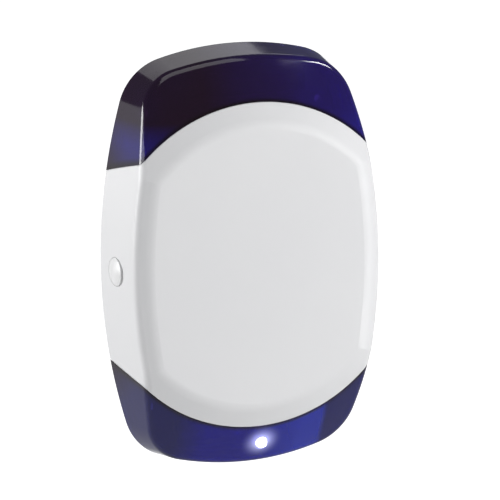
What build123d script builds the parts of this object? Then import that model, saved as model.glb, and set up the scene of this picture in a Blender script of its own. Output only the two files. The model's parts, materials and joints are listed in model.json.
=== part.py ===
"""Wall-mounted alarm siren with a hinged front cover and two strobe lenses, in millimetres.

The wall is the plane y = 0, the front faces -Y and +Z is up. The origin is the centre of the
wall-bolt pattern on the wall plane. Depths below are measured forwards, towards -Y.
"""
from build123d import *
import math
import os

# --- Cover and lenses: the outer skin -----------------------------------------------------------
HEIGHT = 300.0
WIDTH = 198.8
STAND_OFF = 4.0            # wall to the cover's rim
COVER_DEPTH = 52.0         # rim to the flat front face
SIDE_RADIUS = 409.0        # outline arcs at the rim
END_RADIUS = 211.0
CORNER_RADIUS = 41.0
DRAFT = 9.1                # degrees, all side walls
FRONT_RADIUS = 274.0       # sphere that the front of the lenses and the top bevel lie on
FRONT_APEX = 71.2          # rim to where that sphere would peak, ahead of the flat face
BEVEL = 21.0               # degrees, slope of the side bevels
FLAT_HALF_WIDTH = 81.5     # flat front face, at mid height
SEAM_RADIUS = 115.5        # the cover ends and the lenses begin on this cylinder
WALL = 3.0
EDGE_RADIUS = 7.0
CREASE_RADIUS = 18.0
SEAM_GAP = 0.3
LAP = 8.0                  # width of the lens flange that sits under the cover
LAP_THICKNESS = 2.0
LAP_GAP = 0.2
LAP_START = 8.0            # the flange stops this far in front of the wall

# --- Hinge on the right-hand side ---------------------------------------------------------------
HINGE_X = 93.8
HINGE_DEPTH = 13.0
KNUCKLE_RADIUS = 3.0
KNUCKLE_LENGTH = 12.0
KNUCKLE_COUNT = 5
KNUCKLE_GAP = 0.3
PIN_RADIUS = 1.25
PIN_CLEARANCE = 0.05
RAIL_DEPTH = 8.4
RAIL_INNER_X = 86.0
NOTCH = 5.0                # height of the cover's notch round each fixed knuckle

# --- Cover lock on the left-hand side -----------------------------------------------------------
LOCK_DEPTH = 25.3
SEAT_X = -94.2             # floor of the recess that takes the plug's head
SEAT_RADIUS = 10.3
SEAT_BOSS_RADIUS = 12.5
TUBE_RADIUS = 8.5
TUBE_BORE = 6.0
TUBE_FLOOR_X = -76.0
TUBE_END_X = -70.0
PLUG_RADIUS = 10.0
PLUG_SPIGOT_RADIUS = 5.8
PLUG_SPIGOT = 4.6
SPIGOT_SPLIT = 1.2
PLUG_APEX_X = -98.6
PLUG_EDGE_X = -95.9
SCREW_RADIUS = 2.0
SCREW_CLEARANCE = 0.05
SCREW_HEAD_RADIUS = 4.0
SCREW_HEAD = 2.8
SCREW_HEAD_X = -89.0
SCREW_LENGTH = 16.0
O_RING_HEIGHT = 1.3
O_RING_RADIUS = 3.6
POST_X = -68.5
POST_LENGTH = 10.0
POST_HALF_WIDTH = 6.0
POST_DEPTH = 31.3
INSERT_RADIUS = 3.0
INSERT_LENGTH = 8.0

# --- Back plate ---------------------------------------------------------------------------------
BASE = 2.5                 # thickness of the plate against the wall
BASE_INSET = 2.5
LIP_INSET = 8.0
LIP_WIDTH = 2.0
LIP_DEPTH = 9.0
LIP_RIGHT = 82.0
BOLT_X = 65.0
BOLT_Z = 105.0
BOLT_HOLE_RADIUS = 2.75
BOLT_BOSS_RADIUS = 6.5
BOLT_BOSS_DEPTH = 4.5
CABLE_X = -52.0
CABLE_Z = 45.0
CABLE_HOLE_RADIUS = 11.0
GROMMET_BORE = 6.0
SEAL_INSET = 3.8
SEAL_THICKNESS = 3.0
SEAL_RIGHT = 72.0
LEVEL_X = -45.0
LEVEL_Z = 86.0
LEVEL_LENGTH = 30.0
LEVEL_RADIUS = 4.0

# --- Circuit board ------------------------------------------------------------------------------
BOARD_X = (-54.0, 70.0)
BOARD_Z = (-58.0, 0.0)
BOARD_BACK = 12.5
BOARD_THICKNESS = 1.6
BOARD_SCREWS_X = (-50.0, 66.0)
BOARD_SCREWS_Z = (-54.0, -4.0)
BOARD_FRONT = BOARD_BACK + BOARD_THICKNESS
STANDOFF_RADIUS = 3.5
SCREW_PILOT = 1.25
TERMINALS = 10
TERMINAL_PITCH = 5.08
TAMPER_X = -36.0
TAMPER_Z = -16.0
TAMPER_BODY = 10.0
TAMPER_STEM_RADIUS = 2.0
TAMPER_TIP = 29.0          # depth of the pressed plunger's tip
WALL_TAMPER_X = -20.0
WALL_TAMPER_Z = -30.0

# --- Sounder ------------------------------------------------------------------------------------
SOUNDER_X = 22.0
SOUNDER_Z = 50.0
SOUNDER_RADIUS = 38.0
SOUNDER_BACK = 6.0
SOUNDER_DEPTH = 22.0
DISC_RADIUS = 25.0

# --- Strobe boards ------------------------------------------------------------------------------
STROBE_Z = 124.0
STROBE_LENGTH = 100.0
STROBE_WIDTH = 18.0
STROBE_BACK = 16.0
STROBE_LEDS = 4
STROBE_PITCH = 24.0
STROBE_POST_X = 45.0
LED_RADIUS = 2.5
STATUS_X = 3.8
STATUS_Z = -129.5
PIPE_RADIUS = 4.0
PIPE_BACK = 27.0

# --- Battery ------------------------------------------------------------------------------------
CELL_RADIUS = 7.1
CELL_LENGTH = 50.0
CELL_ROWS = 3
CELL_COLUMNS = 2
BATTERY_Z = -85.0
BATTERY_BACK = 4.2

# --- Smaller features ---------------------------------------------------------------------------
RAIL_INSET = 1.2
RIB_THICKNESS = 1.6
RIB_X = 45.0
RIB_LENGTH = 110.0
RIB_HEIGHT = 9.0
RIBS_Z = (-45.0, 5.0, 98.0)
RIB_SPAN = 150.0
TAMPER_POST_RADIUS = 4.0
TAMPER_CAP_RADIUS = 3.4
SEAT_WALL = 4.0
LENS_SCREW_ANGLES = (60, 80, 100, 120)
LENS_PILOT = 1.1
LENS_HOLE = 1.3
LENS_PAD_RADIUS = 3.5
LENS_SEAT = 42.0
LENS_SCREW_TIP = 50.2
LENS_HEAD_RADIUS = 2.3
LENS_HEAD = 1.6
PIPE_BOSS_RADIUS = 5.4
PIPE_BOSS_BACK = 37.0
PIPE_BOSS_FRONT = 41.5
PIPE_FRONT = 42.7
PIPE_DOME = 2.0
DRIVE_DEPTH = 1.0
DRIVE_WIDTH = 0.7
LEAD_RADIUS = 1.0
LEAD_BEND = 2.4
CRADLE_X = 51.2
CRADLE_DEPTH = 14.0
SOUNDER_EAR = 41.0
SOUNDER_ANGLES = (90, 210, 330)
EAR_RADIUS = 5.0
HORN_THROAT = 12.0
HORN_FLARE = 35.0
HORN_BACK = 14.0
STROBE_LED_Z = 122.0
REFLECTOR_HEIGHT = 6.0
WALL_STEM_RADIUS = 3.4
WALL_COLLAR_RADIUS = 5.6
WALL_COLLAR = 5.6
WALL_TIP = 8.8
TERMINAL_X = 34.0
TERMINAL_Z = -50.0
RELAY = (52.0, -26.0)
CONTROLLER = (6.0, -26.0)
LEG_REACH = 5.6
CAPACITORS = [(30.0, -17.0), (30.0, -30.0)]
COIL = (-20.0, -44.0)
JUMPERS = (0.0, -46.0)
SOCKETS = [(-44.0, -46.0), (22.0, -5.0), (-22.0, -6.0), (-12.0, -53.0)]


def facing(depth):
    """Plane parallel to the wall at a depth, with local x = +X, local y = +Z, normal = -Y."""
    return Plane(origin=(0, -depth, 0), x_dir=(1, 0, 0), z_dir=(0, -1, 0))


def sideways(x):
    """Plane facing +X at x, with local x = +Y and local y = +Z."""
    return Plane(origin=(x, 0, 0), x_dir=(0, 1, 0), z_dir=(1, 0, 0))


def upright(z):
    """Plane facing +Z at z, with local x = +X and local y = +Y."""
    return Plane(origin=(0, 0, z), x_dir=(1, 0, 0), z_dir=(0, 0, 1))


def slab(centre, size, back, front, corner=0.0, mode=Mode.ADD):
    """Rectangle of size (x, z) centred on (x, z), between two depths."""
    with BuildSketch(facing(back)) as profile:
        with Locations(centre):
            if corner:
                RectangleRounded(size[0], size[1], corner)
            else:
                Rectangle(size[0], size[1])
    extrude(profile.sketch, amount=front - back, mode=mode)


def discs(centres, radius, back, front, mode=Mode.ADD):
    """Round rods along -Y between two depths, one at each (x, z)."""
    with BuildSketch(facing(back)) as profile:
        with Locations(*centres):
            Circle(radius)
    extrude(profile.sketch, amount=front - back, mode=mode)


def rod_x(start, end, radius, depth, z=0.0, mode=Mode.ADD):
    """Round rod along X from start to end, at a depth and height."""
    with BuildSketch(sideways(start)) as profile:
        with Locations((-depth, z)):
            Circle(radius)
    extrude(profile.sketch, amount=end - start, mode=mode)


def corner_centre(half_width, half_height, side, end, corner):
    """Centre of the corner arc that is tangent to the side arc and the end arc."""
    side_x = half_width - side
    end_z = half_height - end
    to_side = side - corner
    to_end = end - corner
    span = math.hypot(side_x, end_z)
    along = (to_side ** 2 - to_end ** 2 + span ** 2) / (2 * span)
    across = math.sqrt(to_side ** 2 - along ** 2)
    unit_x = -side_x / span
    unit_z = end_z / span
    return side_x + along * unit_x - across * unit_z, along * unit_z + across * unit_x


def outline(inset=0.0):
    """Eight tangent arcs round the object, moved inwards by inset."""
    half_width = WIDTH / 2 - inset
    half_height = HEIGHT / 2 - inset
    side = SIDE_RADIUS - inset
    end = END_RADIUS - inset
    corner = CORNER_RADIUS - inset
    x, z = corner_centre(half_width, half_height, side, end, corner)
    low = math.degrees(math.atan2(z, x - (half_width - side)))
    high = math.degrees(math.atan2(z - (half_height - end), x))
    CenterArc((half_width - side, 0), side, -low, 2 * low)
    CenterArc((x, z), corner, low, high - low)
    CenterArc((0, half_height - end), end, high, 180 - 2 * high)
    CenterArc((-x, z), corner, 180 - high, high - low)
    CenterArc((side - half_width, 0), side, 180 - low, 2 * low)
    CenterArc((-x, -z), corner, 180 + low, high - low)
    CenterArc((0, end - half_height), end, 180 + high, 180 - 2 * high)
    CenterArc((x, -z), corner, 360 - high, high - low)


def outline_prism(inset, back, front, mode=Mode.ADD):
    """Straight prism on the inset outline between two depths."""
    with BuildSketch(facing(back)) as profile:
        with BuildLine():
            outline(inset)
        make_face()
    extrude(profile.sketch, amount=front - back, mode=mode)


def side_profile(inset):
    """Body of revolution about the side arc's axis: side wall, rounded edge and side bevel."""
    slope = math.radians(BEVEL)
    draft = math.radians(DRAFT)
    axis_x = WIDTH / 2 - SIDE_RADIUS
    wall_radius = SIDE_RADIUS - inset / math.cos(draft) + STAND_OFF * math.tan(draft)
    bevel_apex = (
        STAND_OFF + COVER_DEPTH
        + (FLAT_HALF_WIDTH - axis_x) * math.tan(slope)
        - inset / math.cos(slope)
    )
    depth = bevel_apex - math.tan(slope) * wall_radius
    depth /= 1 - math.tan(slope) * math.tan(draft)
    radius = wall_radius - depth * math.tan(draft)
    inner = radius - 60
    inner_depth = bevel_apex - math.tan(slope) * inner
    with BuildPart() as solid:
        with BuildSketch(Plane.XY) as profile:
            with BuildLine():
                Polyline(
                    (axis_x, 0),
                    (axis_x, -inner_depth),
                    (axis_x + inner, -inner_depth),
                    (axis_x + radius, -depth),
                    (axis_x + wall_radius, 0),
                    close=True,
                )
            make_face()
            edge = profile.vertices().sort_by_distance((axis_x + radius, -depth, 0))[0]
            fillet(edge, EDGE_RADIUS - inset)
        revolve(axis=Axis((axis_x, 0, 0), (0, 1, 0)))
    return solid.part


def envelope(inset, crease_radius=0.0):
    """Solid inside the outer skin moved inwards by inset, from the rim plane to the front."""
    flat = STAND_OFF + COVER_DEPTH - inset
    with BuildPart() as solid:
        with BuildSketch(facing(STAND_OFF)):
            with BuildLine():
                outline(inset / math.cos(math.radians(DRAFT)))
            make_face()
        extrude(amount=FRONT_APEX, taper=DRAFT)
        with Locations((0, FRONT_RADIUS - FRONT_APEX - STAND_OFF, 0)):
            Sphere(FRONT_RADIUS - inset, mode=Mode.INTERSECT)
        fillet(solid.faces().sort_by(Axis.Y)[0].edges(), EDGE_RADIUS - inset)
        side = side_profile(inset)
        add(side, mode=Mode.INTERSECT)
        add(side.mirror(Plane.YZ), mode=Mode.INTERSECT)
        slab((0, 0), (WIDTH, HEIGHT), flat, flat + FRONT_APEX, mode=Mode.SUBTRACT)
        if crease_radius:
            fillet(solid.faces().sort_by(Axis.Y)[0].edges(), crease_radius)
    return solid.part


def seam_cylinder(radius):
    """Solid cylinder about the Y axis that covers the whole depth."""
    with BuildPart() as solid:
        discs([(0, 0)], radius, -10, STAND_OFF + FRONT_APEX + 10)
    return solid.part


def save(part, label):
    """Label a finished piece and write its STEP file."""
    part.label = label
    export_step(part, os.path.join("parts", label + ".step"))


def rod_z(low, high, radius, x, depth, mode=Mode.ADD):
    """Round rod along Z between two heights."""
    with BuildSketch(upright(low)) as profile:
        with Locations((x, -depth)):
            Circle(radius)
    extrude(profile.sketch, amount=high - low, mode=mode)


def polar(radius, angles, centre=(0.0, 0.0)):
    """Points (x, z) on a circle at the given angles in degrees."""
    return [
        (
            centre[0] + radius * math.cos(math.radians(angle)),
            centre[1] + radius * math.sin(math.radians(angle)),
        )
        for angle in angles
    ]


def screws(centres, head_back, head_radius, head_height, shank_radius, shank_length):
    """Screws driven towards the wall: head in front of head_back, shank behind it."""
    discs(centres, head_radius, head_back, head_back + head_height)
    discs(centres, shank_radius, head_back - shank_length, head_back)
    for angle in (0, 90):
        with BuildSketch(facing(head_back + head_height - DRIVE_DEPTH)) as cross:
            with Locations(*centres):
                Rectangle(head_radius, DRIVE_WIDTH, rotation=angle)
        extrude(cross.sketch, amount=2 * DRIVE_DEPTH, mode=Mode.SUBTRACT)


def lead(points, radius):
    """Flexible lead along straight runs joined by tangent arcs; points are (x, depth, z)."""
    route = [(x, -depth, z) for x, depth, z in points]
    with BuildPart() as solid:
        with BuildLine() as path:
            FilletPolyline(*route, radius=LEAD_BEND)
        start = path.line @ 0
        with BuildSketch(Plane(origin=start, z_dir=path.line % 0)):
            Circle(radius)
        sweep(path=path.line)
    return solid.part


def spring(x, z, back, front, radius, wire, turns):
    """Compression spring along Y between two depths."""
    length = front - back - 2 * wire
    with BuildPart() as solid:
        with BuildLine() as path:
            Helix(
                pitch=length / turns,
                height=length,
                radius=radius,
                center=(x, -back - wire, z),
                direction=(0, -1, 0),
            )
        with BuildSketch(Plane(origin=path.line @ 0, z_dir=path.line % 0)):
            Circle(wire)
        sweep(path=path.line, is_frenet=True)
    return solid.part


os.makedirs("parts", exist_ok=True)

outer = envelope(0, CREASE_RADIUS)
inner = envelope(WALL)
under_cover = envelope(WALL + LAP_GAP)
under_lap = envelope(WALL + LAP_GAP + LAP_THICKNESS)
inside_seam = seam_cylinder(SEAM_RADIUS - SEAM_GAP / 2)
outside_seam = seam_cylinder(SEAM_RADIUS + SEAM_GAP / 2)

knuckle_z = [(k - (KNUCKLE_COUNT - 1) / 2) * KNUCKLE_LENGTH for k in range(KNUCKLE_COUNT)]
cover_knuckles = knuckle_z[0::2]
fixed_knuckles = knuckle_z[1::2]
hinge_half = KNUCKLE_COUNT * KNUCKLE_LENGTH / 2
knuckle_half = (KNUCKLE_LENGTH - KNUCKLE_GAP) / 2
lens_screw_r = SEAM_RADIUS - LAP / 2
flat_depth = STAND_OFF + COVER_DEPTH

# --- Front cover --------------------------------------------------------------------------------
with BuildPart() as hinge_half_on_cover:
    for z in cover_knuckles:
        rod_z(z - knuckle_half, z + knuckle_half, KNUCKLE_RADIUS, HINGE_X, HINGE_DEPTH)
        slab((HINGE_X + 4, z), (8, 2 * knuckle_half), HINGE_DEPTH, HINGE_DEPTH + NOTCH)
    add(outer, mode=Mode.INTERSECT)

with BuildPart() as front_cover:
    add(outer)
    add(inside_seam, mode=Mode.INTERSECT)
    add(inner, mode=Mode.SUBTRACT)
    # notches for the hinge
    slab((HINGE_X, 0), (20, 2 * hinge_half + 2 * KNUCKLE_GAP), 0, HINGE_DEPTH, mode=Mode.SUBTRACT)
    for z in fixed_knuckles:
        slab((HINGE_X, z), (20, KNUCKLE_LENGTH + KNUCKLE_GAP), 0, HINGE_DEPTH + NOTCH, mode=Mode.SUBTRACT)
    add(hinge_half_on_cover.part)
    rod_z(-hinge_half, hinge_half, PIN_RADIUS + PIN_CLEARANCE, HINGE_X, HINGE_DEPTH, mode=Mode.SUBTRACT)
    # tamper post and two stiffening ribs
    discs([(TAMPER_X, TAMPER_Z)], TAMPER_POST_RADIUS, TAMPER_TIP + 0.3, flat_depth - 1)
    for x in (-RIB_X, RIB_X):
        slab((x, 0), (RIB_THICKNESS, RIB_LENGTH), flat_depth - RIB_HEIGHT, flat_depth - 1)
    # lens screw pilots
    discs(polar(lens_screw_r, LENS_SCREW_ANGLES), LENS_PILOT, LENS_SEAT, LENS_SCREW_TIP, mode=Mode.SUBTRACT)
    discs(
        polar(lens_screw_r, [-angle for angle in LENS_SCREW_ANGLES]),
        LENS_PILOT,
        LENS_SEAT,
        LENS_SCREW_TIP,
        mode=Mode.SUBTRACT,
    )

with BuildPart() as lock_tube:
    rod_x(-WIDTH / 2, SEAT_X + SEAT_WALL, SEAT_BOSS_RADIUS, LOCK_DEPTH)
    rod_x(SEAT_X, TUBE_END_X, TUBE_RADIUS, LOCK_DEPTH)
    add(outer, mode=Mode.INTERSECT)

with BuildPart() as front_cover_finished:
    add(front_cover.part)
    add(lock_tube.part)
    rod_x(-WIDTH / 2 - 1, SEAT_X, SEAT_RADIUS, LOCK_DEPTH, mode=Mode.SUBTRACT)
    rod_x(SEAT_X - 1, TUBE_FLOOR_X, TUBE_BORE, LOCK_DEPTH, mode=Mode.SUBTRACT)
    rod_x(TUBE_FLOOR_X - 1, TUBE_END_X + 1, SCREW_RADIUS + 0.3, LOCK_DEPTH, mode=Mode.SUBTRACT)
save(front_cover_finished.part, "front_cover")


def lens(side):
    """Shell beyond the seam on one side (+1 top, -1 bottom), with the flange under the cover."""
    angles = [side * angle for angle in LENS_SCREW_ANGLES]
    with BuildPart() as flange:
        add(under_cover)
        add(seam_cylinder(SEAM_RADIUS + WALL), mode=Mode.INTERSECT)
        add(under_lap, mode=Mode.SUBTRACT)
    with BuildPart() as pads:
        discs(polar(lens_screw_r, angles), LENS_PAD_RADIUS, LENS_SEAT, flat_depth)
        add(under_cover, mode=Mode.INTERSECT)
    with BuildPart() as step:
        add(outer)
        add(seam_cylinder(SEAM_RADIUS + WALL), mode=Mode.INTERSECT)
        add(outside_seam, mode=Mode.SUBTRACT)
        add(under_lap, mode=Mode.SUBTRACT)
    with BuildPart() as solid:
        add(outer)
        add(inner, mode=Mode.SUBTRACT)
        add(outside_seam, mode=Mode.SUBTRACT)
        add(flange.part)
        add(step.part)
        add(seam_cylinder(SEAM_RADIUS - LAP), mode=Mode.SUBTRACT)
        add(pads.part)
        slab((0, -side * HEIGHT / 2), (2 * WIDTH, HEIGHT), 0, flat_depth + 20, mode=Mode.SUBTRACT)
        discs(polar(lens_screw_r, angles), LENS_HOLE, 0, flat_depth - 5, mode=Mode.SUBTRACT)
    return solid.part


def trimmed_flange(part):
    """Cut the flange back so that it starts in front of the seal."""
    with BuildPart() as band:
        outline_prism(WALL + LAP_GAP / 2, 0, LAP_START)
    with BuildPart() as solid:
        add(part)
        add(band.part, mode=Mode.SUBTRACT)
    return solid.part


save(trimmed_flange(lens(1)), "upper_lens")

with BuildPart() as lower_lens:
    add(trimmed_flange(lens(-1)))
    discs([(STATUS_X, STATUS_Z)], PIPE_BOSS_RADIUS, PIPE_BOSS_BACK, PIPE_BOSS_FRONT)
    discs([(STATUS_X, STATUS_Z)], PIPE_RADIUS, 0, flat_depth, mode=Mode.SUBTRACT)
save(lower_lens.part, "lower_lens")

with BuildPart() as lens_screws:
    for side in (1, -1):
        centres = polar(lens_screw_r, [side * angle for angle in LENS_SCREW_ANGLES])
        discs(centres, LENS_HEAD_RADIUS, LENS_SEAT - LENS_HEAD, LENS_SEAT)
        discs(centres, LENS_PILOT, LENS_SEAT, LENS_SCREW_TIP)
save(lens_screws.part, "lens_screws")

with BuildPart() as status_light_pipe:
    discs([(STATUS_X, STATUS_Z)], PIPE_RADIUS, PIPE_BACK, PIPE_FRONT)
    with Locations((STATUS_X, -PIPE_FRONT, STATUS_Z)):
        Sphere(PIPE_RADIUS)
    slab((STATUS_X, STATUS_Z), (20, 20), PIPE_FRONT + PIPE_DOME, flat_depth, mode=Mode.SUBTRACT)
save(status_light_pipe.part, "status_light_pipe")

# --- Cover lock ---------------------------------------------------------------------------------
with BuildPart() as plug_disc:
    rod_x(-WIDTH / 2 - 1, SEAT_X, PLUG_RADIUS, LOCK_DEPTH)
    add(outer, mode=Mode.INTERSECT)

with BuildPart() as screw_cap:
    add(plug_disc.part)
    with BuildSketch(Plane.XY):
        with BuildLine():
            Polyline(
                (PLUG_APEX_X, -LOCK_DEPTH),
                (SEAT_X, -LOCK_DEPTH),
                (SEAT_X, -LOCK_DEPTH - PLUG_RADIUS),
                (PLUG_EDGE_X, -LOCK_DEPTH - PLUG_RADIUS),
            )
            sagitta = PLUG_EDGE_X - PLUG_APEX_X
            dome = (PLUG_RADIUS ** 2 + sagitta ** 2) / (2 * sagitta)
            RadiusArc(
                (PLUG_EDGE_X, -LOCK_DEPTH - PLUG_RADIUS), (PLUG_APEX_X, -LOCK_DEPTH), dome
            )
        make_face()
    revolve(axis=Axis((0, -LOCK_DEPTH, 0), (1, 0, 0)))
    rod_x(SEAT_X, SEAT_X + PLUG_SPIGOT, PLUG_SPIGOT_RADIUS, LOCK_DEPTH)
    rod_x(SEAT_X + 1, SEAT_X + PLUG_SPIGOT, PLUG_SPIGOT_RADIUS - 1.4, LOCK_DEPTH, mode=Mode.SUBTRACT)
    split_centre = (SEAT_X + PLUG_SPIGOT / 2 + 1, 0)
    split_back = LOCK_DEPTH - SPIGOT_SPLIT / 2
    slab(split_centre, (PLUG_SPIGOT - 2, 14), split_back, split_back + SPIGOT_SPLIT, mode=Mode.SUBTRACT)
save(screw_cap.part, "screw_cap")

with BuildPart() as cover_screw:
    rod_x(SCREW_HEAD_X, SCREW_HEAD_X + SCREW_HEAD, SCREW_HEAD_RADIUS, LOCK_DEPTH)
    fillet(cover_screw.edges().group_by(Axis.X)[0], 1.0)
    rod_x(
        SCREW_HEAD_X + SCREW_HEAD,
        SCREW_HEAD_X + SCREW_HEAD + SCREW_LENGTH,
        SCREW_RADIUS,
        LOCK_DEPTH,
    )
    chamfer(cover_screw.edges().group_by(Axis.X)[-1], 0.5)
    for size in ((0.9, 5.0), (5.0, 0.9)):
        with BuildSketch(sideways(SCREW_HEAD_X)) as cross:
            with Locations((-LOCK_DEPTH, 0)):
                Rectangle(*size)
        extrude(cross.sketch, amount=1.6, mode=Mode.SUBTRACT)
save(cover_screw.part, "cover_screw")

with BuildPart() as screw_o_ring:
    ring_x = SCREW_HEAD_X + SCREW_HEAD
    rod_x(ring_x, ring_x + O_RING_HEIGHT, O_RING_RADIUS, LOCK_DEPTH)
    rod_x(ring_x, ring_x + O_RING_HEIGHT, SCREW_RADIUS + SCREW_CLEARANCE, LOCK_DEPTH, mode=Mode.SUBTRACT)
    fillet(screw_o_ring.edges().filter_by(GeomType.CIRCLE), 0.4)
save(screw_o_ring.part, "screw_o_ring")

# --- Back plate ---------------------------------------------------------------------------------
bolts = [(x, z) for x in (-BOLT_X, BOLT_X) for z in (-BOLT_Z, BOLT_Z)]
board_posts = [(x, z) for x in BOARD_SCREWS_X for z in BOARD_SCREWS_Z]
strobe_posts = [(x, z) for x in (-STROBE_POST_X, STROBE_POST_X) for z in (-STROBE_Z, STROBE_Z)]
sounder_ears = polar(SOUNDER_EAR, SOUNDER_ANGLES, (SOUNDER_X, SOUNDER_Z))
board_centre = ((BOARD_X[0] + BOARD_X[1]) / 2, (BOARD_Z[0] + BOARD_Z[1]) / 2)
board_size = (BOARD_X[1] - BOARD_X[0], BOARD_Z[1] - BOARD_Z[0])

with BuildPart() as hinge_rail:
    outline_prism(RAIL_INSET, 0, RAIL_DEPTH)
    rail_width = WIDTH / 2 - RAIL_INNER_X
    with BuildPart(mode=Mode.PRIVATE) as window:
        slab((RAIL_INNER_X + rail_width / 2, 0), (rail_width, 2 * hinge_half), 0, RAIL_DEPTH)
    add(window.part, mode=Mode.INTERSECT)
    for z in fixed_knuckles:
        slab((HINGE_X, z), (2 * KNUCKLE_RADIUS, 2 * knuckle_half), BASE, HINGE_DEPTH)
        rod_z(z - knuckle_half, z + knuckle_half, KNUCKLE_RADIUS, HINGE_X, HINGE_DEPTH)
    rod_z(-hinge_half, hinge_half, PIN_RADIUS, HINGE_X, HINGE_DEPTH, mode=Mode.SUBTRACT)

with BuildPart() as lip:
    outline_prism(LIP_INSET, 0, LIP_DEPTH)
    outline_prism(LIP_INSET + LIP_WIDTH, BASE, LIP_DEPTH, mode=Mode.SUBTRACT)
    slab((LIP_RIGHT + WIDTH / 2, 0), (WIDTH, HEIGHT), 0, LIP_DEPTH, mode=Mode.SUBTRACT)

with BuildPart() as back_plate:
    outline_prism(BASE_INSET, 0, BASE)
    add(lip.part)
    add(hinge_rail.part)
    # stiffening ribs
    for z in RIBS_Z:
        slab((-1, z), (RIB_SPAN, RIB_THICKNESS), BASE, BASE + 2)
    discs(bolts, BOLT_BOSS_RADIUS, BASE, BOLT_BOSS_DEPTH)
    discs(board_posts, STANDOFF_RADIUS, BASE, BOARD_BACK)
    discs(strobe_posts, STANDOFF_RADIUS, BASE, STROBE_BACK)
    discs(sounder_ears, STANDOFF_RADIUS, BASE, SOUNDER_BACK)
    # post that holds the brass insert
    slab((POST_X + POST_LENGTH / 2, 0), (POST_LENGTH, 2 * POST_HALF_WIDTH), BASE, POST_DEPTH, corner=1.5)
    slab((POST_X + POST_LENGTH - 1, 0), (2, 26), BASE, POST_DEPTH - 8)
    # battery cradle
    for x in (-CRADLE_X, CRADLE_X):
        slab((x, BATTERY_Z), (RIB_THICKNESS, 40), BASE, CRADLE_DEPTH)
    # seat of the level
    for x in (-LEVEL_LENGTH / 2, LEVEL_LENGTH / 2):
        slab((LEVEL_X + x, LEVEL_Z), (3, 12), BASE, BASE + 5)
    rod_x(
        LEVEL_X - LEVEL_LENGTH / 2 - 1,
        LEVEL_X + LEVEL_LENGTH / 2 + 1,
        LEVEL_RADIUS,
        BASE + LEVEL_RADIUS + 0.5,
        LEVEL_Z,
        mode=Mode.SUBTRACT,
    )
    # guide of the wall tamper plunger
    discs([(WALL_TAMPER_X, WALL_TAMPER_Z)], WALL_STEM_RADIUS + 0.1, 0, BASE, mode=Mode.SUBTRACT)
    # holes
    discs(bolts, BOLT_HOLE_RADIUS, -1, BOLT_BOSS_DEPTH + 1, mode=Mode.SUBTRACT)
    discs([(CABLE_X, CABLE_Z)], CABLE_HOLE_RADIUS, -1, BASE + 1, mode=Mode.SUBTRACT)
    discs(board_posts, SCREW_PILOT, BOARD_BACK - 7, BOARD_BACK, mode=Mode.SUBTRACT)
    discs(strobe_posts, SCREW_PILOT, STROBE_BACK - 7, STROBE_BACK, mode=Mode.SUBTRACT)
    discs(sounder_ears, SCREW_PILOT, BASE, SOUNDER_BACK, mode=Mode.SUBTRACT)
    rod_x(POST_X, POST_X + INSERT_LENGTH, INSERT_RADIUS, LOCK_DEPTH, mode=Mode.SUBTRACT)
save(back_plate.part, "back_plate")

with BuildPart() as cover_seal:
    outline_prism(SEAL_INSET, BASE, BASE + SEAL_THICKNESS)
    outline_prism(LIP_INSET, BASE, BASE + SEAL_THICKNESS, mode=Mode.SUBTRACT)
    slab((SEAL_RIGHT + WIDTH / 2, 0), (WIDTH, HEIGHT), 0, BASE + SEAL_THICKNESS, mode=Mode.SUBTRACT)
save(cover_seal.part, "cover_seal")

with BuildPart() as cable_grommet:
    discs([(CABLE_X, CABLE_Z)], CABLE_HOLE_RADIUS, 0.2, BASE)
    discs([(CABLE_X, CABLE_Z)], CABLE_HOLE_RADIUS + 2, BASE, BASE + 1.5)
    discs([(CABLE_X, CABLE_Z)], GROMMET_BORE + 2, BASE + 1.5, BASE + 6)
    discs([(CABLE_X, CABLE_Z)], GROMMET_BORE, 0, BASE + 6, mode=Mode.SUBTRACT)
save(cable_grommet.part, "cable_grommet")

with BuildPart() as level_vial:
    rod_x(
        LEVEL_X - LEVEL_LENGTH / 2,
        LEVEL_X + LEVEL_LENGTH / 2,
        LEVEL_RADIUS,
        BASE + LEVEL_RADIUS + 0.5,
        LEVEL_Z,
    )
    fillet(level_vial.edges().filter_by(GeomType.CIRCLE), 1.0)
save(level_vial.part, "level_vial")

with BuildPart() as brass_insert:
    rod_x(POST_X, POST_X + INSERT_LENGTH, INSERT_RADIUS, LOCK_DEPTH)
    rod_x(POST_X, POST_X + INSERT_LENGTH, SCREW_RADIUS + SCREW_CLEARANCE, LOCK_DEPTH, mode=Mode.SUBTRACT)
save(brass_insert.part, "brass_insert")

with BuildPart() as hinge_pin:
    rod_z(-hinge_half, hinge_half, PIN_RADIUS, HINGE_X, HINGE_DEPTH)
    chamfer(hinge_pin.edges().filter_by(GeomType.CIRCLE), 0.3)
save(hinge_pin.part, "hinge_pin")

# --- Circuit board ------------------------------------------------------------------------------
with BuildPart() as circuit_board:
    slab(board_centre, board_size, BOARD_BACK, BOARD_FRONT, corner=2)
    discs(board_posts, 1.6, BOARD_BACK, BOARD_FRONT, mode=Mode.SUBTRACT)
save(circuit_board.part, "circuit_board")

with BuildPart() as board_screws:
    screws(board_posts, BOARD_FRONT, 2.8, 2.0, SCREW_PILOT, 7.0)
save(board_screws.part, "board_screws")

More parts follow.
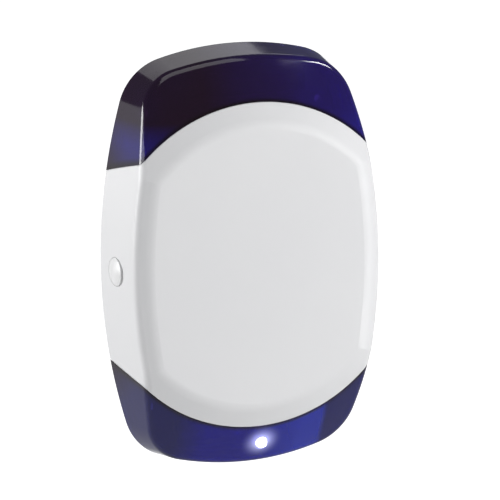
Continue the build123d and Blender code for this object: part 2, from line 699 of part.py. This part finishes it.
with BuildPart() as terminal_block:
    width = TERMINALS * TERMINAL_PITCH
    slab((TERMINAL_X, TERMINAL_Z), (width, 9), BOARD_FRONT, BOARD_FRONT + 11)
    chamfer(terminal_block.edges().group_by(Axis.Y)[0].sort_by(Axis.Z)[0], 2.5)
    ways = [(TERMINAL_X + (n - (TERMINALS - 1) / 2) * TERMINAL_PITCH, TERMINAL_Z) for n in range(TERMINALS)]
    discs([(x, z + 1) for x, z in ways], 1.9, BOARD_FRONT + 6, BOARD_FRONT + 11, mode=Mode.SUBTRACT)
    for x, z in ways:
        slab((x, TERMINAL_Z - 3.5), (3.4, 4), BOARD_FRONT + 1.5, BOARD_FRONT + 5, mode=Mode.SUBTRACT)
save(terminal_block.part, "terminal_block")

with BuildPart() as terminal_screws:
    heads = [(x, z + 1) for x, z in ways]
    discs(heads, 1.8, BOARD_FRONT + 6, BOARD_FRONT + 8.5)
    with BuildSketch(facing(BOARD_FRONT + 7.8)) as slots:
        with Locations(*heads):
            Rectangle(3.8, 0.6, rotation=30)
    extrude(slots.sketch, amount=1, mode=Mode.SUBTRACT)
save(terminal_screws.part, "terminal_screws")

with BuildPart() as relay:
    slab(RELAY, (19, 15.4), BOARD_FRONT, BOARD_FRONT + 15, corner=0.8)
    fillet(relay.edges().group_by(Axis.Y)[0], 0.5)
save(relay.part, "relay")

with BuildPart() as microcontroller:
    slab(CONTROLLER, (10, 10), BOARD_FRONT + 0.1, BOARD_FRONT + 1.5)
    chamfer(microcontroller.edges().group_by(Axis.Y)[0], 0.3)
    leg_x, leg_z = CONTROLLER
    for step in range(8):
        along = step - 3.5
        for across in (-LEG_REACH, LEG_REACH):
            slab((leg_x + across, leg_z + along), (1.6, 0.4), BOARD_FRONT, BOARD_FRONT + 0.4)
            slab((leg_x + along, leg_z + across), (0.4, 1.6), BOARD_FRONT, BOARD_FRONT + 0.4)
save(microcontroller.part, "microcontroller")

with BuildPart() as capacitors:
    discs(CAPACITORS, 5.0, BOARD_FRONT, BOARD_FRONT + 16)
    fillet(capacitors.edges().group_by(Axis.Y)[0], 0.8)
save(capacitors.part, "capacitors")

with BuildPart() as step_up_coil:
    discs([COIL], 6.0, BOARD_FRONT, BOARD_FRONT + 1.5)
    discs([COIL], 4.6, BOARD_FRONT + 1.5, BOARD_FRONT + 7)
    discs([COIL], 6.0, BOARD_FRONT + 7, BOARD_FRONT + 8.5)
save(step_up_coil.part, "step_up_coil")

with BuildPart() as jumper_header:
    slab(JUMPERS, (10.2, 5), BOARD_FRONT, BOARD_FRONT + 2.5)
    pins = [(JUMPERS[0] + (n - 1.5) * 2.54, JUMPERS[1] + row * 1.27) for n in range(4) for row in (-1, 1)]
    with BuildSketch(facing(BOARD_FRONT + 2.5)) as square_pins:
        with Locations(*pins):
            Rectangle(0.64, 0.64)
    extrude(square_pins.sketch, amount=6)
save(jumper_header.part, "jumper_header")

with BuildPart() as jumper_links:
    for n in (0, 2):
        x = JUMPERS[0] + (n - 1.5) * 2.54
        slab((x, JUMPERS[1]), (2.4, 5), BOARD_FRONT + 2.5, BOARD_FRONT + 9)
        for row in (-1, 1):
            pin = (x, JUMPERS[1] + row * 1.27)
            slab(pin, (0.64, 0.64), BOARD_FRONT + 2.5, BOARD_FRONT + 8.5, mode=Mode.SUBTRACT)
save(jumper_links.part, "jumper_links")

with BuildPart() as lead_sockets:
    for centre in SOCKETS:
        slab(centre, (7, 5), BOARD_FRONT, BOARD_FRONT + 6)
    chamfer(lead_sockets.edges().group_by(Axis.Y)[0], 0.5)
save(lead_sockets.part, "lead_sockets")

with BuildPart() as tamper_switch:
    slab((TAMPER_X, TAMPER_Z), (TAMPER_BODY, TAMPER_BODY), BOARD_FRONT, BOARD_FRONT + TAMPER_BODY - 2)
    chamfer(tamper_switch.edges().filter_by(Axis.Y), 0.6)
    discs([(TAMPER_X, TAMPER_Z)], TAMPER_STEM_RADIUS + 0.1, BOARD_FRONT + 2, flat_depth, mode=Mode.SUBTRACT)
save(tamper_switch.part, "tamper_switch")

with BuildPart() as tamper_plunger:
    discs([(TAMPER_X, TAMPER_Z)], TAMPER_STEM_RADIUS, BOARD_FRONT + 2.2, TAMPER_TIP)
    discs([(TAMPER_X, TAMPER_Z)], TAMPER_CAP_RADIUS, TAMPER_TIP - 2, TAMPER_TIP)
    fillet(tamper_plunger.edges().group_by(Axis.Y)[0], 0.6)
save(tamper_plunger.part, "tamper_plunger")
save(
    spring(TAMPER_X, TAMPER_Z, BOARD_FRONT + TAMPER_BODY - 2, TAMPER_TIP - 2, 2.7, 0.25, 4),
    "tamper_spring",
)

with BuildPart() as wall_tamper_plunger:
    discs([(WALL_TAMPER_X, WALL_TAMPER_Z)], WALL_STEM_RADIUS, 0, WALL_TIP)
    discs([(WALL_TAMPER_X, WALL_TAMPER_Z)], WALL_COLLAR_RADIUS, WALL_COLLAR, WALL_COLLAR + 1)
    fillet(wall_tamper_plunger.edges().group_by(Axis.Y)[-1], 0.8)
save(wall_tamper_plunger.part, "wall_tamper_plunger")
save(
    spring(WALL_TAMPER_X, WALL_TAMPER_Z, WALL_COLLAR + 1, BOARD_BACK, 5.0, 0.3, 3),
    "wall_tamper_spring",
)

with BuildPart() as wall_tamper_switch:
    slab((WALL_TAMPER_X, WALL_TAMPER_Z), (6, 6), WALL_TIP + 0.1, BOARD_BACK)
    chamfer(wall_tamper_switch.edges().filter_by(Axis.Y), 0.5)
save(wall_tamper_switch.part, "wall_tamper_switch")

# --- Sounder ------------------------------------------------------------------------------------
sounder = (SOUNDER_X, SOUNDER_Z)
sounder_front = SOUNDER_BACK + SOUNDER_DEPTH

with BuildPart() as sounder_housing:
    discs([sounder], SOUNDER_RADIUS, SOUNDER_BACK, sounder_front - 2)
    discs(sounder_ears, EAR_RADIUS, SOUNDER_BACK, SOUNDER_BACK + 2.5)
    discs([sounder], SOUNDER_RADIUS - 2, SOUNDER_BACK + 2, sounder_front, mode=Mode.SUBTRACT)
    discs([sounder], DISC_RADIUS + 2, SOUNDER_BACK + 2, SOUNDER_BACK + 7)
    discs([sounder], DISC_RADIUS - 2, SOUNDER_BACK + 2, sounder_front, mode=Mode.SUBTRACT)
    discs([sounder], DISC_RADIUS + 0.2, SOUNDER_BACK + 6, sounder_front, mode=Mode.SUBTRACT)
    discs(sounder_ears, 1.6, 0, sounder_front, mode=Mode.SUBTRACT)
save(sounder_housing.part, "sounder_housing")

with BuildPart() as piezo_disc:
    discs([sounder], DISC_RADIUS, SOUNDER_BACK + 6, SOUNDER_BACK + 6.4)
    discs([sounder], DISC_RADIUS - 7, SOUNDER_BACK + 6.4, SOUNDER_BACK + 6.8)
save(piezo_disc.part, "piezo_disc")

with BuildPart() as sounder_horn:
    discs([sounder], SOUNDER_RADIUS, sounder_front - 2, sounder_front)
    with BuildSketch(facing(HORN_BACK)) as flare:
        with Locations(sounder):
            Circle(HORN_THROAT + 2)
    extrude(flare.sketch, amount=sounder_front - HORN_BACK, taper=-HORN_FLARE)
    with BuildSketch(facing(HORN_BACK - 1)) as throat:
        with Locations(sounder):
            Circle(HORN_THROAT)
    extrude(throat.sketch, amount=SOUNDER_DEPTH, taper=-HORN_FLARE, mode=Mode.SUBTRACT)
    for angle in range(0, 180, 60):
        with BuildSketch(facing(sounder_front - 4)) as bars:
            with Locations(sounder):
                Rectangle(2 * HORN_THROAT + 17, 1.6, rotation=angle)
        extrude(bars.sketch, amount=2)
save(sounder_horn.part, "sounder_horn")

with BuildPart() as sounder_screws:
    screws(sounder_ears, SOUNDER_BACK + 2.5, 2.8, 2.0, SCREW_PILOT, 5.5)
save(sounder_screws.part, "sounder_screws")

# --- Strobe boards, one behind each lens --------------------------------------------------------
strobe_front = STROBE_BACK + BOARD_THICKNESS


def strobe(side, name):
    """Board, LEDs and reflector behind one lens."""
    z = side * STROBE_Z
    led_z = side * STROBE_LED_Z
    posts = [(-STROBE_POST_X, z), (STROBE_POST_X, z)]
    leds = [((n - (STROBE_LEDS - 1) / 2) * STROBE_PITCH, led_z) for n in range(STROBE_LEDS)]
    with BuildPart() as board:
        slab((0, z), (STROBE_LENGTH, STROBE_WIDTH), STROBE_BACK, strobe_front, corner=2)
        discs(posts, 1.6, STROBE_BACK, strobe_front, mode=Mode.SUBTRACT)
    save(board.part, name + "_strobe_board")
    with BuildPart() as lamps:
        discs(leds, LED_RADIUS, strobe_front, strobe_front + 3.5)
        with Locations(*[(x, -strobe_front - 3.5, lamp_z) for x, lamp_z in leds]):
            Sphere(LED_RADIUS)
    save(lamps.part, name + "_strobe_leds")
    with BuildPart() as reflector:
        slab((0, led_z), (4 * STROBE_PITCH - 12, 11), strobe_front, strobe_front + REFLECTOR_HEIGHT, corner=1)
        with BuildSketch(facing(strobe_front)) as cups:
            with Locations(*leds):
                Circle(LED_RADIUS + 0.5)
        extrude(cups.sketch, amount=REFLECTOR_HEIGHT, taper=-18, mode=Mode.SUBTRACT)
    save(reflector.part, name + "_reflector")


strobe(1, "upper")
strobe(-1, "lower")

with BuildPart() as strobe_screws:
    screws(strobe_posts, strobe_front, 2.8, 2.0, SCREW_PILOT, 7.0)
save(strobe_screws.part, "strobe_screws")

with BuildPart() as status_led:
    discs([(STATUS_X, STATUS_Z)], 1.5, strobe_front, strobe_front + 3)
    with Locations((STATUS_X, -strobe_front - 3, STATUS_Z)):
        Sphere(1.5)
save(status_led.part, "status_led")

# --- Battery ------------------------------------------------------------------------------------
cell_depth = BATTERY_BACK + CELL_RADIUS
with BuildPart() as battery_cells:
    for row in range(CELL_ROWS):
        z = BATTERY_Z + (row - (CELL_ROWS - 1) / 2) * 2 * CELL_RADIUS
        for column in range(CELL_COLUMNS):
            x = (column - CELL_COLUMNS / 2) * CELL_LENGTH
            rod_x(x + 0.2, x + CELL_LENGTH - 1.4, CELL_RADIUS - 0.05, cell_depth, z)
            rod_x(x + CELL_LENGTH - 1.4, x + CELL_LENGTH - 0.2, 2.7, cell_depth, z)
save(battery_cells.part, "battery_cells")

with BuildPart() as battery_strap:
    strap_front = BATTERY_BACK + 2 * CELL_RADIUS + 0.3
    reach = CELL_ROWS * CELL_RADIUS + 1.2
    slab((0, BATTERY_Z), (12, 2 * reach + 3.2), strap_front, strap_front + 1.6)
    for sign in (-1, 1):
        slab((0, BATTERY_Z + sign * (reach + 0.8)), (12, 1.6), BASE, strap_front)
    fillet(battery_strap.edges().group_by(Axis.Y)[0].filter_by(Axis.X), 1.2)
save(battery_strap.part, "battery_strap")

# --- Leads inside the case ----------------------------------------------------------------------
lead_run = BOARD_FRONT + 10
socket_front = BOARD_FRONT + 6
save(
    lead(
        [
            (SOCKETS[0][0], BATTERY_BACK + 2 * CELL_RADIUS, BATTERY_Z + 2 * CELL_RADIUS),
            (SOCKETS[0][0], lead_run, BATTERY_Z + 2 * CELL_RADIUS),
            (SOCKETS[0][0], lead_run, SOCKETS[0][1]),
            (SOCKETS[0][0], socket_front, SOCKETS[0][1]),
        ],
        LEAD_RADIUS,
    ),
    "battery_lead",
)
save(
    lead(
        [
            (SOUNDER_X, lead_run, SOUNDER_Z - SOUNDER_RADIUS),
            (SOUNDER_X, lead_run, SOCKETS[1][1]),
            (SOUNDER_X, socket_front, SOCKETS[1][1]),
        ],
        LEAD_RADIUS,
    ),
    "sounder_lead",
)
for name, side, socket in (("upper", 1, SOCKETS[2]), ("lower", -1, SOCKETS[3])):
    start = side * (STROBE_Z - STROBE_WIDTH / 2)
    turn = start - side * 5.5
    save(
        lead(
            [
                (socket[0], strobe_front - BOARD_THICKNESS / 2, start),
                (socket[0], strobe_front - BOARD_THICKNESS / 2, turn),
                (socket[0], lead_run, turn),
                (socket[0], lead_run, socket[1]),
                (socket[0], socket_front, socket[1]),
            ],
            LEAD_RADIUS,
        ),
        name + "_strobe_lead",
    )
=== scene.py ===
import json
import math

import bpy
from mathutils import Matrix, Vector

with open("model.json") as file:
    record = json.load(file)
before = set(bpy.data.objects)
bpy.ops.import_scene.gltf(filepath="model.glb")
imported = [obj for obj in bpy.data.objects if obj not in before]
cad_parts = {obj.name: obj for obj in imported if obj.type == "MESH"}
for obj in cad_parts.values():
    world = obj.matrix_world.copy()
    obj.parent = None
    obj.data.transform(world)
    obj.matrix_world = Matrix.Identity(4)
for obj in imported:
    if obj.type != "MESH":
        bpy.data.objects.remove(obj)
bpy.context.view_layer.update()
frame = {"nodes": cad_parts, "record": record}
NODES = frame["nodes"]


# --- Materials: every one is made of nodes, in the object's own metres -------------------------
def new_material(name):
    """An empty node material with its output, its Principled shader and its coordinates."""
    material = bpy.data.materials.new(name)
    material.use_nodes = True
    tree = material.node_tree
    shader = tree.nodes["Principled BSDF"]
    place = tree.nodes.new("ShaderNodeTexCoord")
    return material, tree, shader, place.outputs["Object"]


def noise(tree, place, scale, detail=4.0, stretch=None):
    """Noise texture; stretch squeezes it along an axis for brushed or drawn surfaces."""
    texture = tree.nodes.new("ShaderNodeTexNoise")
    texture.inputs["Scale"].default_value = scale
    texture.inputs["Detail"].default_value = detail
    if stretch:
        mapping = tree.nodes.new("ShaderNodeMapping")
        mapping.inputs["Scale"].default_value = stretch
        tree.links.new(place, mapping.inputs["Vector"])
        place = mapping.outputs["Vector"]
    tree.links.new(place, texture.inputs["Vector"])
    return texture.outputs["Fac"]


def spread(tree, value, low, high, from_low=0.3, from_high=0.7):
    """Value remapped from one range to another."""
    node = tree.nodes.new("ShaderNodeMapRange")
    node.inputs["From Min"].default_value = from_low
    node.inputs["From Max"].default_value = from_high
    node.inputs["To Min"].default_value = low
    node.inputs["To Max"].default_value = high
    tree.links.new(value, node.inputs["Value"])
    return node.outputs["Result"]


def both(tree, first, second):
    """Product of two masks."""
    node = tree.nodes.new("ShaderNodeMath")
    node.operation = "MULTIPLY"
    tree.links.new(first, node.inputs[0])
    tree.links.new(second, node.inputs[1])
    return node.outputs["Value"]


def axis(tree, place, name):
    """One coordinate of a position."""
    parts = tree.nodes.new("ShaderNodeSeparateXYZ")
    tree.links.new(place, parts.inputs["Vector"])
    return parts.outputs[name]


def distance_from(tree, place, point):
    """Distance in metres from a fixed point."""
    node = tree.nodes.new("ShaderNodeVectorMath")
    node.operation = "DISTANCE"
    node.inputs[1].default_value = point
    tree.links.new(place, node.inputs[0])
    return node.outputs["Value"]


def mix_colour(tree, factor, first, second):
    """Two colours, or a colour socket and a colour, mixed by a factor."""
    node = tree.nodes.new("ShaderNodeMix")
    node.data_type = "RGBA"
    tree.links.new(factor, node.inputs["Factor"])
    for socket, colour in ((node.inputs[6], first), (node.inputs[7], second)):
        if isinstance(colour, bpy.types.NodeSocket):
            tree.links.new(colour, socket)
        else:
            socket.default_value = (*colour, 1.0)
    return node.outputs[2]


def bump(tree, shader, height, distance, strength=1.0):
    """Surface relief of the given distance in metres."""
    node = tree.nodes.new("ShaderNodeBump")
    node.inputs["Strength"].default_value = strength
    node.inputs["Distance"].default_value = distance
    tree.links.new(height, node.inputs["Height"])
    tree.links.new(node.outputs["Normal"], shader.inputs["Normal"])


def surface(
    name,
    colour,
    roughness,
    metallic=0.0,
    second=None,
    grain=1400.0,
    relief=0.00002,
    patch=60.0,
    stretch=None,
    coat=0.0,
    transmission=0.0,
    worn=0.0,
):
    """Moulded, painted or metal surface: fine grain, slow colour drift and uneven polish."""
    material, tree, shader, place = new_material(name)
    second = second or tuple(0.9 * part for part in colour)
    drift = noise(tree, place, patch, 5.0)
    tone = mix_colour(tree, spread(tree, drift, 0.0, 1.0), colour, second)
    if worn:
        edge = tree.nodes.new("ShaderNodeNewGeometry").outputs["Pointiness"]
        rubbed = spread(tree, edge, 0.0, worn, 0.52, 0.62)
        tone = mix_colour(tree, rubbed, tone, tuple(min(1.0, 1.5 * part + 0.05) for part in colour))
    tree.links.new(tone, shader.inputs["Base Color"])
    fine = noise(tree, place, grain, 3.0, stretch)
    polish = spread(tree, fine, 0.85 * roughness, min(1.0, 1.2 * roughness))
    tree.links.new(polish, shader.inputs["Roughness"])
    shader.inputs["Metallic"].default_value = metallic
    shader.inputs["IOR"].default_value = PLASTIC_IOR
    shader.inputs["Coat Weight"].default_value = coat
    shader.inputs["Coat Roughness"].default_value = 0.06
    shader.inputs["Transmission Weight"].default_value = transmission
    bump(tree, shader, fine, relief)
    return material


def painted_shell(name):
    """White satin cover: faint orange peel, a slow drift in tone and a little dust in the polish."""
    material, tree, shader, place = new_material(name)
    drift = noise(tree, place, 9.0, 3.0)
    speckle = noise(tree, place, 2600.0, 2.0)
    tone = mix_colour(tree, spread(tree, drift, 0.0, 1.0), WHITE, WHITE_DRIFT)
    tone = mix_colour(tree, spread(tree, speckle, 0.0, 0.06, 0.62, 0.75), tone, (0.55, 0.55, 0.54))
    tree.links.new(tone, shader.inputs["Base Color"])
    peel = noise(tree, place, 420.0, 2.0)
    haze = noise(tree, place, 35.0, 6.0)
    tree.links.new(spread(tree, haze, 0.36, 0.46), shader.inputs["Roughness"])
    shader.inputs["Specular IOR Level"].default_value = 0.5
    bump(tree, shader, peel, 0.00003, 0.6)
    return material


def lens_patches(tree, place, across, up):
    """Lens tone by position: clouded blue, painted light on the lower middle, a greyer blue on the rest of
    the lower lens, painted brown-black shadow at the top and painted shade on the left side walls.
    """
    cloud = noise(tree, place, 11.0, 2.0)
    streak = noise(tree, place, 26.0, 3.0, (1.0, 1.0, 0.3))
    tone = mix_colour(tree, spread(tree, cloud, 0.0, 1.0, 0.4, 0.62), LENS_DEEP, LENS_BLUE)
    tone = mix_colour(tree, spread(tree, streak, 0.0, 0.5), tone, LENS_VIOLET)
    # Painted light: a lit band down the middle of the lower lens, brighter to the right of centre.
    middle = both(
        tree, spread(tree, across, 0.0, 1.0, -0.060, -0.040), spread(tree, across, 1.0, 0.0, 0.049, 0.053)
    )
    below = spread(tree, up, 1.0, 0.0, -0.06, -0.05)
    lit = mix_colour(tree, spread(tree, across, 0.0, 1.0, -0.005, 0.035), LENS_LIT, LENS_LIT_BRIGHT)
    # The rest of the lower lens takes a greyer, duller blue.
    tone = mix_colour(tree, both(tree, below, middle), mix_colour(tree, below, tone, LENS_LOWER_TONE), lit)
    # Painted shadow: brown-black shade over the upper lens, strongest on the left and fading towards the
    # right.
    shadow = both(
        tree, spread(tree, up, 0.0, 0.9, 0.09, 0.105), spread(tree, across, 1.0, 0.1, -0.035, 0.06)
    )
    tone = mix_colour(tree, shadow, tone, LENS_SHADOW)
    # Painted shade: the left side walls of both lenses are pulled three quarters of the way to the shadow
    # colour.
    return mix_colour(tree, spread(tree, across, 0.75, 0.0, -0.092, -0.086), tone, LENS_SHADOW)


def lens_borders(tree, tone, across, up):
    """Bluer tone where the lens turns away from the viewer, and a dark line where it meets the cover."""
    rim = tree.nodes.new("ShaderNodeLayerWeight")
    rim.inputs["Blend"].default_value = 0.35
    tone = mix_colour(tree, spread(tree, rim.outputs["Facing"], 0.0, 0.6, 0.6, 1.0), tone, LENS_EDGE)
    flat = tree.nodes.new("ShaderNodeCombineXYZ")
    tree.links.new(across, flat.inputs["X"])
    tree.links.new(up, flat.inputs["Z"])
    radius = distance_from(tree, flat.outputs["Vector"], (0.0, 0.0, 0.0))
    joint = spread(tree, radius, 0.85, 0.0, 0.1165, 0.1185)
    return mix_colour(tree, joint, tone, LENS_JOINT)


def tinted_lens(name):
    """Deep blue glossy lens, with a soft halo round the status light."""
    material, tree, shader, place = new_material(name)
    across, up = axis(tree, place, "X"), axis(tree, place, "Z")
    tone = lens_borders(tree, lens_patches(tree, place, across, up), across, up)
    tree.links.new(tone, shader.inputs["Base Color"])
    halo = tree.nodes.new("ShaderNodeMath")
    halo.operation = "POWER"
    halo.inputs[1].default_value = HALO_FALL
    reach = distance_from(tree, place, STATUS_LIGHT)
    tree.links.new(spread(tree, reach, 1.0, 0.0, *HALO_REACH), halo.inputs[0])
    shader.inputs["Emission Color"].default_value = HALO_COLOUR
    tree.links.new(halo.outputs["Value"], shader.inputs["Emission Strength"])
    smear = noise(tree, place, 60.0, 6.0)
    tree.links.new(spread(tree, smear, 0.06, 0.13), shader.inputs["Roughness"])
    shader.inputs["IOR"].default_value = PLASTIC_IOR
    shader.inputs["Transmission Weight"].default_value = 0.55
    shader.inputs["Coat Weight"].default_value = 0.25
    shader.inputs["Coat Roughness"].default_value = 0.05
    ripple = noise(tree, place, 160.0, 2.0)
    bump(tree, shader, ripple, 0.00002, 0.5)
    return material


def glowing(name, colour, strength):
    """Clear plastic rod with light coming out of its front end."""
    material, tree, shader, place = new_material(name)
    flicker = noise(tree, place, 700.0, 2.0)
    tone = mix_colour(tree, spread(tree, flicker, 0.0, 1.0), colour, (0.92, 0.95, 1.0))
    tree.links.new(tone, shader.inputs["Base Color"])
    tree.links.new(tone, shader.inputs["Emission Color"])
    core = spread(tree, distance_from(tree, place, STATUS_LIGHT), strength, 0.0, *CORE_REACH)
    tree.links.new(core, shader.inputs["Emission Strength"])
    tree.links.new(spread(tree, flicker, 0.08, 0.14), shader.inputs["Roughness"])
    return material


def circuit(name, colour):
    """Circuit board: solder mask over a grid of tracks, with tinned pads."""
    material, tree, shader, place = new_material(name)
    cells = tree.nodes.new("ShaderNodeTexBrick")
    cells.inputs["Scale"].default_value = 160.0
    cells.inputs["Mortar Size"].default_value = 0.04
    cells.inputs["Color1"].default_value = (*colour, 1.0)
    cells.inputs["Color2"].default_value = (*(0.8 * part for part in colour), 1.0)
    cells.inputs["Mortar"].default_value = (*(min(1.0, 1.9 * part + 0.01) for part in colour), 1.0)
    turn = tree.nodes.new("ShaderNodeMapping")
    turn.inputs["Rotation"].default_value = (math.radians(90), 0.0, 0.0)
    tree.links.new(place, turn.inputs["Vector"])
    tree.links.new(turn.outputs["Vector"], cells.inputs["Vector"])
    tree.links.new(cells.outputs["Color"], shader.inputs["Base Color"])
    weave = noise(tree, place, 1500.0, 2.0)
    tree.links.new(spread(tree, weave, 0.28, 0.42), shader.inputs["Roughness"])
    bump(tree, shader, cells.outputs["Fac"], 0.00005, 0.5)
    return material


WHITE = (0.79, 0.79, 0.795)
WHITE_DRIFT = (0.77, 0.77, 0.78)
PLASTIC_IOR = 1.49
STATUS_LIGHT = (0.0038, -0.0440, -0.1295)
CORE_REACH = (0.0036, 0.0056)
HALO_REACH = (0.0025, 0.0185)
HALO_FALL = 3.2
HALO_COLOUR = (0.78, 0.81, 1.0, 1.0)
LENS_DEEP = (0.030, 0.016, 0.25)
LENS_BLUE = (0.035, 0.025, 0.40)
LENS_VIOLET = (0.035, 0.014, 0.14)
# Painted shade colour for the lens (next line), then two painted light colours for the lower lens.
LENS_SHADOW = (0.030, 0.008, 0.012)
LENS_LIT = (0.016, 0.009, 0.40)
LENS_LIT_BRIGHT = (0.035, 0.055, 0.62)
LENS_LOWER_TONE = (0.024, 0.022, 0.19)
LENS_EDGE = (0.05, 0.06, 0.42)
LENS_JOINT = (0.014, 0.005, 0.006)

LOOKS = {
    "white_shell": painted_shell("white_shell_paint"),
    "blue_lens": tinted_lens("blue_lens_tint"),
    "clear_pipe": glowing("light_pipe_lit", (1.0, 1.0, 1.0), 6.0),
    "white_plug": surface("plug_white", (0.86, 0.86, 0.86), 0.32, grain=900.0, patch=30.0),
    "base_plastic": surface(
        "base_moulding", (0.80, 0.80, 0.79), 0.55, grain=1500.0, relief=0.00005, worn=0.15
    ),
    "seal_rubber": surface("seal_foam", (0.02, 0.02, 0.02), 0.85, grain=1800.0, relief=0.00015),
    "grommet_rubber": surface("grommet_rubber_black", (0.025, 0.025, 0.025), 0.7, relief=0.00006),
    "steel": surface(
        "turned_steel", (0.62, 0.62, 0.63), 0.28, 1.0, grain=500.0, stretch=(12.0, 1.0, 1.0), worn=0.3
    ),
    "screw_steel": surface(
        "zinc_plate", (0.66, 0.66, 0.62), 0.33, 1.0, second=(0.60, 0.60, 0.66), patch=250.0, worn=0.3
    ),
    "insert_brass": surface("insert_brass_turned", (0.75, 0.55, 0.22), 0.3, 1.0, worn=0.4),
    "board_green": circuit("solder_mask_green", (0.012, 0.13, 0.045)),
    "black_component": surface("chip_black", (0.018, 0.018, 0.02), 0.5, relief=0.00004, worn=0.2),
    "relay_blue": surface("relay_case_blue", (0.02, 0.09, 0.38), 0.3, worn=0.2),
    "terminal_green": surface("terminal_body_green", (0.03, 0.26, 0.10), 0.42, worn=0.2),
    "capacitor_sleeve": surface("capacitor_sleeve_dark", (0.012, 0.016, 0.06), 0.25, coat=0.4),
    "coil_ferrite": surface("coil_ferrite_grey", (0.05, 0.045, 0.045), 0.6, relief=0.0001),
    "jumper_cap": surface("jumper_cap_red", (0.45, 0.02, 0.015), 0.4),
    "socket_cream": surface("socket_nylon", (0.72, 0.67, 0.52), 0.45, worn=0.2),
    "switch_black": surface("switch_black_case", (0.02, 0.02, 0.02), 0.5, worn=0.2),
    "plunger_plastic": surface("plunger_acetal", (0.70, 0.70, 0.66), 0.4),
    "spring_steel": surface("spring_wire", (0.6, 0.6, 0.6), 0.3, 1.0, grain=2500.0),
    "sounder_plastic": surface("sounder_black_moulding", (0.02, 0.02, 0.021), 0.5, relief=0.00005, worn=0.2),
    "disc_brass": surface("disc_rolled_brass", (0.78, 0.60, 0.26), 0.3, 1.0, stretch=(1.0, 1.0, 12.0)),
    "led_clear": surface("led_epoxy", (0.85, 0.9, 0.95), 0.08, transmission=0.7, grain=300.0),
    "reflector_chrome": surface("reflector_plate", (0.85, 0.86, 0.88), 0.08, 1.0, grain=200.0),
    "cell_sleeve": surface("cell_sleeve_green", (0.04, 0.24, 0.08), 0.3, coat=0.4, patch=120.0),
    "strap_plastic": surface("strap_nylon", (0.74, 0.74, 0.72), 0.5),
    "vial_green": surface("vial_fluid", (0.45, 0.85, 0.12), 0.06, transmission=0.6, grain=200.0),
    "lead_jacket": surface("lead_jacket_black", (0.03, 0.03, 0.03), 0.55, relief=0.00003),
}

SLOT_OF = {entry["node"]: entry["material_slot"] for entry in frame["record"]["subparts"]}
for node, piece in NODES.items():
    piece.data.materials.clear()
    piece.data.materials.append(LOOKS[SLOT_OF[node]])


# --- Studio -------------------------------------------------------------------------------------
def plane(name, corners, colour, glow):
    """Flat sheet of the studio that glows where it lies behind the object."""
    mesh = bpy.data.meshes.new(name)
    mesh.from_pydata(corners, [], [range(len(corners))])
    sheet = bpy.data.objects.new(name, mesh)
    bpy.context.scene.collection.objects.link(sheet)
    material, tree, shader, place = new_material(name + "_paint")
    soft = noise(tree, place, 0.7, 2.0)
    tone = mix_colour(tree, spread(tree, soft, 0.0, 1.0), colour, tuple(0.995 * part for part in colour))
    tree.links.new(tone, shader.inputs["Base Color"])
    shader.inputs["Roughness"].default_value = 0.9
    shader.inputs["Specular IOR Level"].default_value = 0.0
    shader.inputs["Emission Color"].default_value = (1.0, 1.0, 1.0, 1.0)
    sweep = both(
        tree,
        spread(tree, axis(tree, place, "Y"), 0.0, 1.0, *GLOW_BEHIND),
        spread(tree, axis(tree, place, "X"), 0.0, glow, *GLOW_ACROSS),
    )
    tree.links.new(sweep, shader.inputs["Emission Strength"])
    mesh.materials.append(material)


def area_light(name, place, size, power, height=None, roll=0.0):
    """Soft box aimed at the object, square unless it is given a height, turned by roll degrees."""
    light = bpy.data.lights.new(name, "AREA")
    light.shape = "RECTANGLE"
    light.size = size
    light.size_y = height or size
    light.energy = power
    lamp = bpy.data.objects.new(name, light)
    lamp.location = place
    aim = (-Vector(place)).to_track_quat("-Z", "Y").to_matrix()
    lamp.rotation_euler = (aim @ Matrix.Rotation(math.radians(roll), 3, "Z")).to_euler()
    bpy.context.scene.collection.objects.link(lamp)


FLOOR_Z = -0.75
GLOW_BEHIND = (1.0, 1.5)
GLOW_ACROSS = (-0.5, 0.0)
REACH = 12.0
plane(
    "floor",
    [(-REACH, -REACH, FLOOR_Z), (REACH, -REACH, FLOOR_Z), (REACH, REACH, FLOOR_Z), (-REACH, REACH, FLOOR_Z)],
    (0.54, 0.54, 0.54),
    1.02,
)

area_light("key", (1.80, -2.02, -0.10), 1.4, 55.0)
area_light("fill", (0.1, -0.75, 2.8), 1.8, 13.0)
area_light("left", (-2.3, 0.85, 0.45), 1.2, 44.0)
area_light("left_edge", (-2.4, -0.60, 0.60), 1.5, 12.0, 1.0)
area_light("left_rear", (-1.9, 2.1, 0.15), 1.2, 1.6, 0.8)
area_light("upper_right", (1.80, -0.78, 1.86), 1.3, 15.0, 0.20, -18.0)
area_light("rear_top", (0.45, 2.8, 2.0), 3.0, 6.5, 1.0)

world = bpy.data.worlds.new("studio")
world.use_nodes = True
world.node_tree.nodes["Background"].inputs["Color"].default_value = (0.9, 0.93, 1.0, 1.0)
world.node_tree.nodes["Background"].inputs["Strength"].default_value = 0.12
bpy.context.scene.world = world
bpy.context.scene.view_settings.view_transform = "Standard"

# --- Camera at the photograph's angle -----------------------------------------------------------
TURN = math.radians(21.556)
RISE = math.radians(13.162)
ROLL = math.radians(0.834)
DISTANCE = 2.685
TARGET = (0.0, -0.004, 0.0)
LENS = 274.05
SHIFT = (0.0336, 0.00442)

towards = Vector((-math.sin(TURN) * math.cos(RISE), -math.cos(TURN) * math.cos(RISE), math.sin(RISE)))
target = Vector(TARGET)
camera_data = bpy.data.cameras.new("camera")
camera_data.lens = LENS
camera_data.shift_x, camera_data.shift_y = SHIFT
camera = bpy.data.objects.new("camera", camera_data)
level = (-towards).to_track_quat("-Z", "Y").to_matrix()
camera.matrix_world = (
    Matrix.Translation(target + DISTANCE * towards) @ (level @ Matrix.Rotation(-ROLL, 3, "Z")).to_4x4()
)
bpy.context.scene.collection.objects.link(camera)
bpy.context.scene.camera = camera
